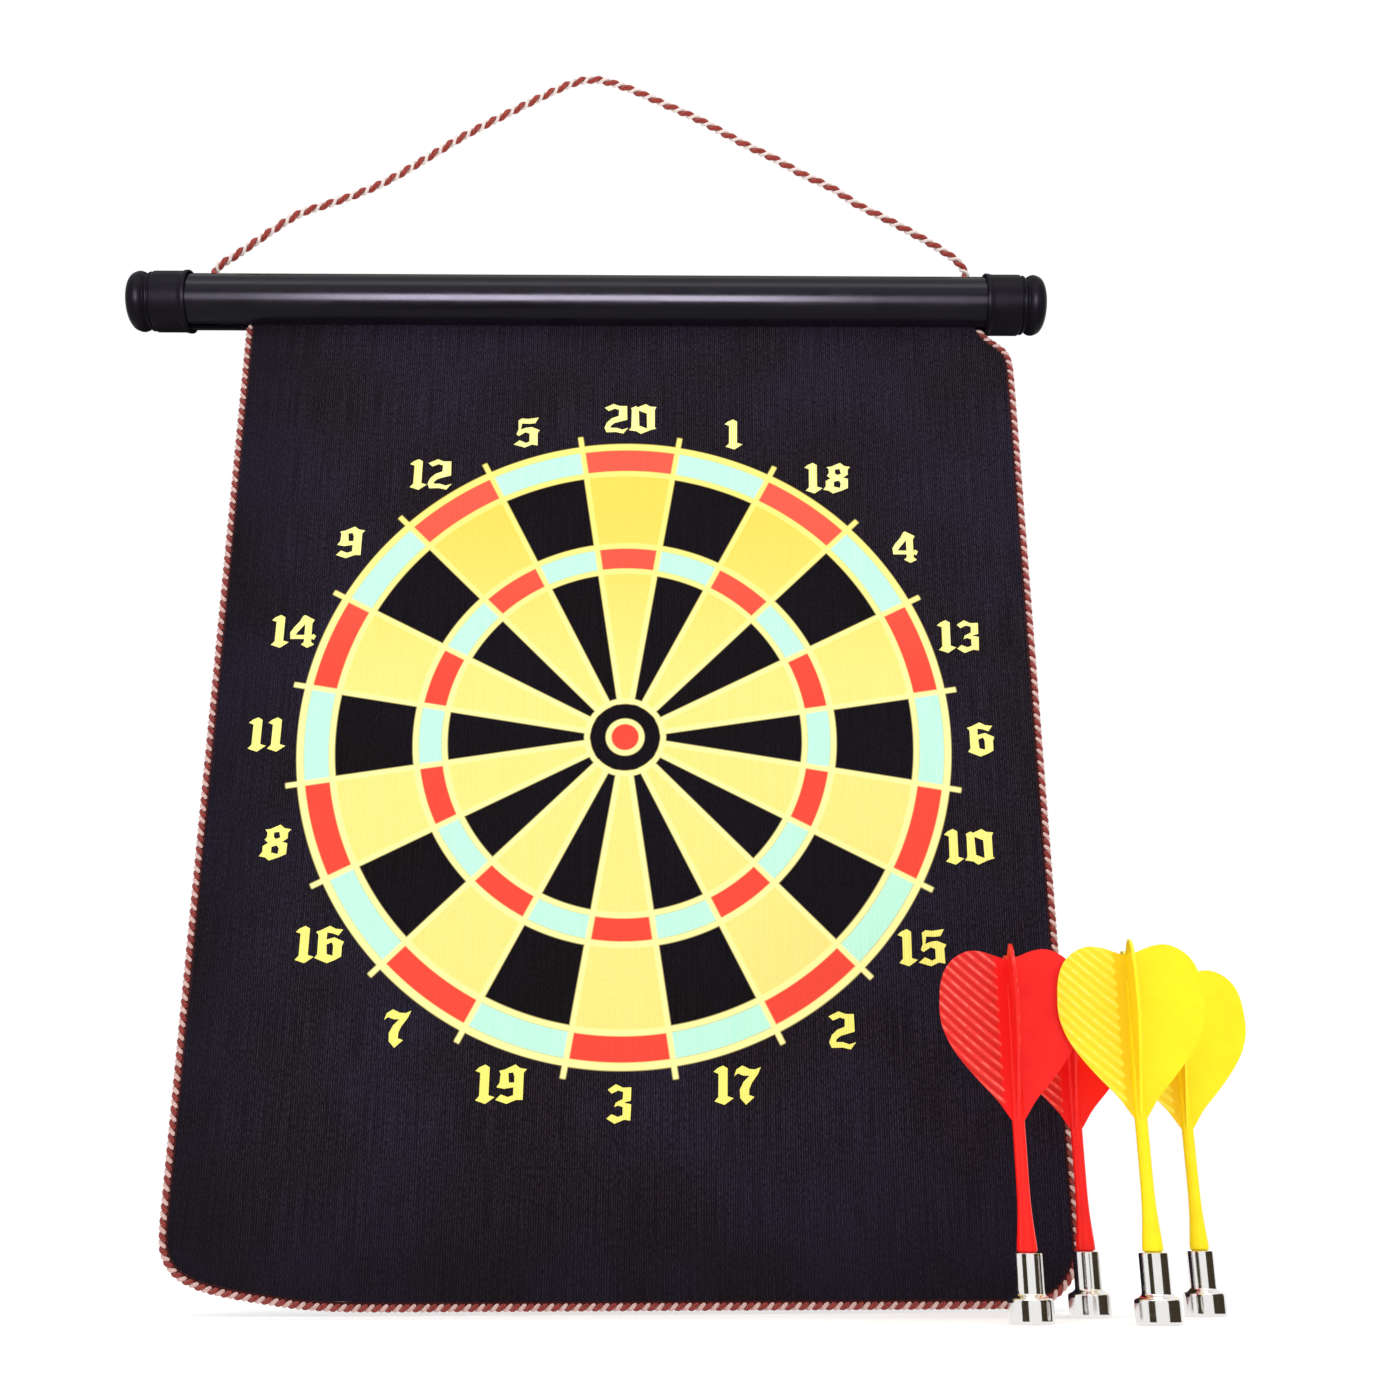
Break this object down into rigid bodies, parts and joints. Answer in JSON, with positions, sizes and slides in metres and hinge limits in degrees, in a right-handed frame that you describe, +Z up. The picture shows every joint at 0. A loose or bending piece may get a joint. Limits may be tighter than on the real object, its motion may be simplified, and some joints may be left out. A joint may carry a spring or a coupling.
{
  "type": "magnetic dartboard",
  "caption": "Roll-up magnetic dartboard: printed flexible mat with rope piping hung from a capped scroll tube on a cord, with magnetic darts standing beside it.",
  "frame": {"origin": "where the hanging cord rests on a nail: the underside of the cord at its peak, over the middle of the scroll tube", "axes": "+Z up, +Y towards the wall, +X to the right as the printed face is seen; the mat hangs down in the plane y = 0"},
  "size_m": [0.3952, 0.1105, 0.4803],
  "materials": {
    "rope": "twisted red and white polyester rope, matt",
    "piping_rope": "twisted red and white piping cord, sewn on",
    "tube_plastic": "glossy black extrusion",
    "cap_plastic": "satin black moulding",
    "bar_steel": "folded channel",
    "cloth": "ribbed black cloth with a printed dartboard",
    "rear_cloth": "plain black cloth",
    "magnetic_rubber": "flexible sheet that a magnet holds to",
    "red_plastic": "moulded, semi-gloss",
    "yellow_plastic": "moulded, semi-gloss",
    "chrome": "bright plated",
    "magnet": "bare disc magnet"
  },
  "bodies": {
    "cord": {"hanging_cord": "rope"},
    "tube": {"scroll_tube": "tube_plastic", "header_bar": "bar_steel", "cord_knot_left": "rope", "cord_knot_right": "rope", "front_cloth_1": "cloth", "core_1": "magnetic_rubber", "rear_cloth_1": "rear_cloth", "piping_left_1": "piping_rope", "piping_right_1": "piping_rope"},
    "cap_left": {"end_cap_left": "cap_plastic"},
    "cap_right": {"end_cap_right": "cap_plastic"},
    "mat_2": {"front_cloth_2": "cloth", "core_2": "magnetic_rubber", "rear_cloth_2": "rear_cloth", "piping_left_2": "piping_rope", "piping_right_2": "piping_rope"},
    "mat_3": {"front_cloth_3": "cloth", "core_3": "magnetic_rubber", "rear_cloth_3": "rear_cloth", "piping_left_3": "piping_rope", "piping_right_3": "piping_rope"},
    "mat_4": {"front_cloth_4": "cloth", "core_4": "magnetic_rubber", "rear_cloth_4": "rear_cloth", "piping_left_4": "piping_rope", "piping_right_4": "piping_rope"},
    "mat_5": {"front_cloth_5": "cloth", "core_5": "magnetic_rubber", "rear_cloth_5": "rear_cloth", "piping_left_5": "piping_rope", "piping_right_5": "piping_rope"},
    "mat_6": {"front_cloth_6": "cloth", "core_6": "magnetic_rubber", "rear_cloth_6": "rear_cloth", "piping_left_6": "piping_rope", "piping_right_6": "piping_rope"},
    "mat_7": {"front_cloth_7": "cloth", "core_7": "magnetic_rubber", "rear_cloth_7": "rear_cloth", "piping_left_7": "piping_rope", "piping_right_7": "piping_rope"},
    "mat_8": {"front_cloth_8": "cloth", "core_8": "magnetic_rubber", "rear_cloth_8": "rear_cloth", "piping_bottom": "piping_rope"},
    "dart_red_front": {"dart_red_front_flight": "red_plastic", "dart_red_front_barrel": "chrome", "dart_red_front_magnet": "magnet"},
    "dart_red_rear": {"dart_red_rear_flight": "red_plastic", "dart_red_rear_barrel": "chrome", "dart_red_rear_magnet": "magnet"},
    "dart_yellow_front": {"dart_yellow_front_flight": "yellow_plastic", "dart_yellow_front_barrel": "chrome", "dart_yellow_front_magnet": "magnet"},
    "dart_yellow_rear": {"dart_yellow_rear_flight": "yellow_plastic", "dart_yellow_rear_barrel": "chrome", "dart_yellow_rear_magnet": "magnet"}
  },
  "joints": [
    {"name": "tube_swing", "type": "hinge", "parent": "cord", "child": "tube", "pos_m": [0, 0, -0.0925], "axis": [1, 0, 0], "range_deg": [0, 90]},
    {"name": "cap_left_pull", "type": "slide", "parent": "tube", "child": "cap_left", "axis": [-1, 0, 0], "range_m": [0, 0.03]},
    {"name": "cap_right_pull", "type": "slide", "parent": "tube", "child": "cap_right", "axis": [1, 0, 0], "range_m": [0, 0.03]},
    {"name": "mat_roll_2", "type": "hinge", "parent": "tube", "child": "mat_2", "pos_m": [0, 0.0016, -0.1753], "axis": [1, 0, 0], "range_deg": [0, 90]},
    {"name": "mat_roll_3", "type": "hinge", "parent": "mat_2", "child": "mat_3", "pos_m": [0, 0.0016, -0.2303], "axis": [1, 0, 0], "range_deg": [0, 90]},
    {"name": "mat_roll_4", "type": "hinge", "parent": "mat_3", "child": "mat_4", "pos_m": [0, 0.0016, -0.2813], "axis": [1, 0, 0], "range_deg": [0, 90]},
    {"name": "mat_roll_5", "type": "hinge", "parent": "mat_4", "child": "mat_5", "pos_m": [0, 0.0016, -0.3283], "axis": [1, 0, 0], "range_deg": [0, 90]},
    {"name": "mat_roll_6", "type": "hinge", "parent": "mat_5", "child": "mat_6", "pos_m": [0, 0.0016, -0.3713], "axis": [1, 0, 0], "range_deg": [0, 90]},
    {"name": "mat_roll_7", "type": "hinge", "parent": "mat_6", "child": "mat_7", "pos_m": [0, 0.0016, -0.4103], "axis": [1, 0, 0], "range_deg": [0, 90]},
    {"name": "mat_roll_8", "type": "hinge", "parent": "mat_7", "child": "mat_8", "pos_m": [0, 0.0016, -0.4453], "axis": [1, 0, 0], "range_deg": [0, 90]},
    {"name": "dart_red_front_lift", "type": "slide", "parent": "cord", "child": "dart_red_front", "axis": [0, 0, 1], "range_m": [0, 0.12]},
    {"name": "dart_red_rear_lift", "type": "slide", "parent": "cord", "child": "dart_red_rear", "axis": [0, 0, 1], "range_m": [0, 0.12]},
    {"name": "dart_yellow_front_lift", "type": "slide", "parent": "cord", "child": "dart_yellow_front", "axis": [0, 0, 1], "range_m": [0, 0.12]},
    {"name": "dart_yellow_rear_lift", "type": "slide", "parent": "cord", "child": "dart_yellow_rear", "axis": [0, 0, 1], "range_m": [0, 0.12]}
  ]
}
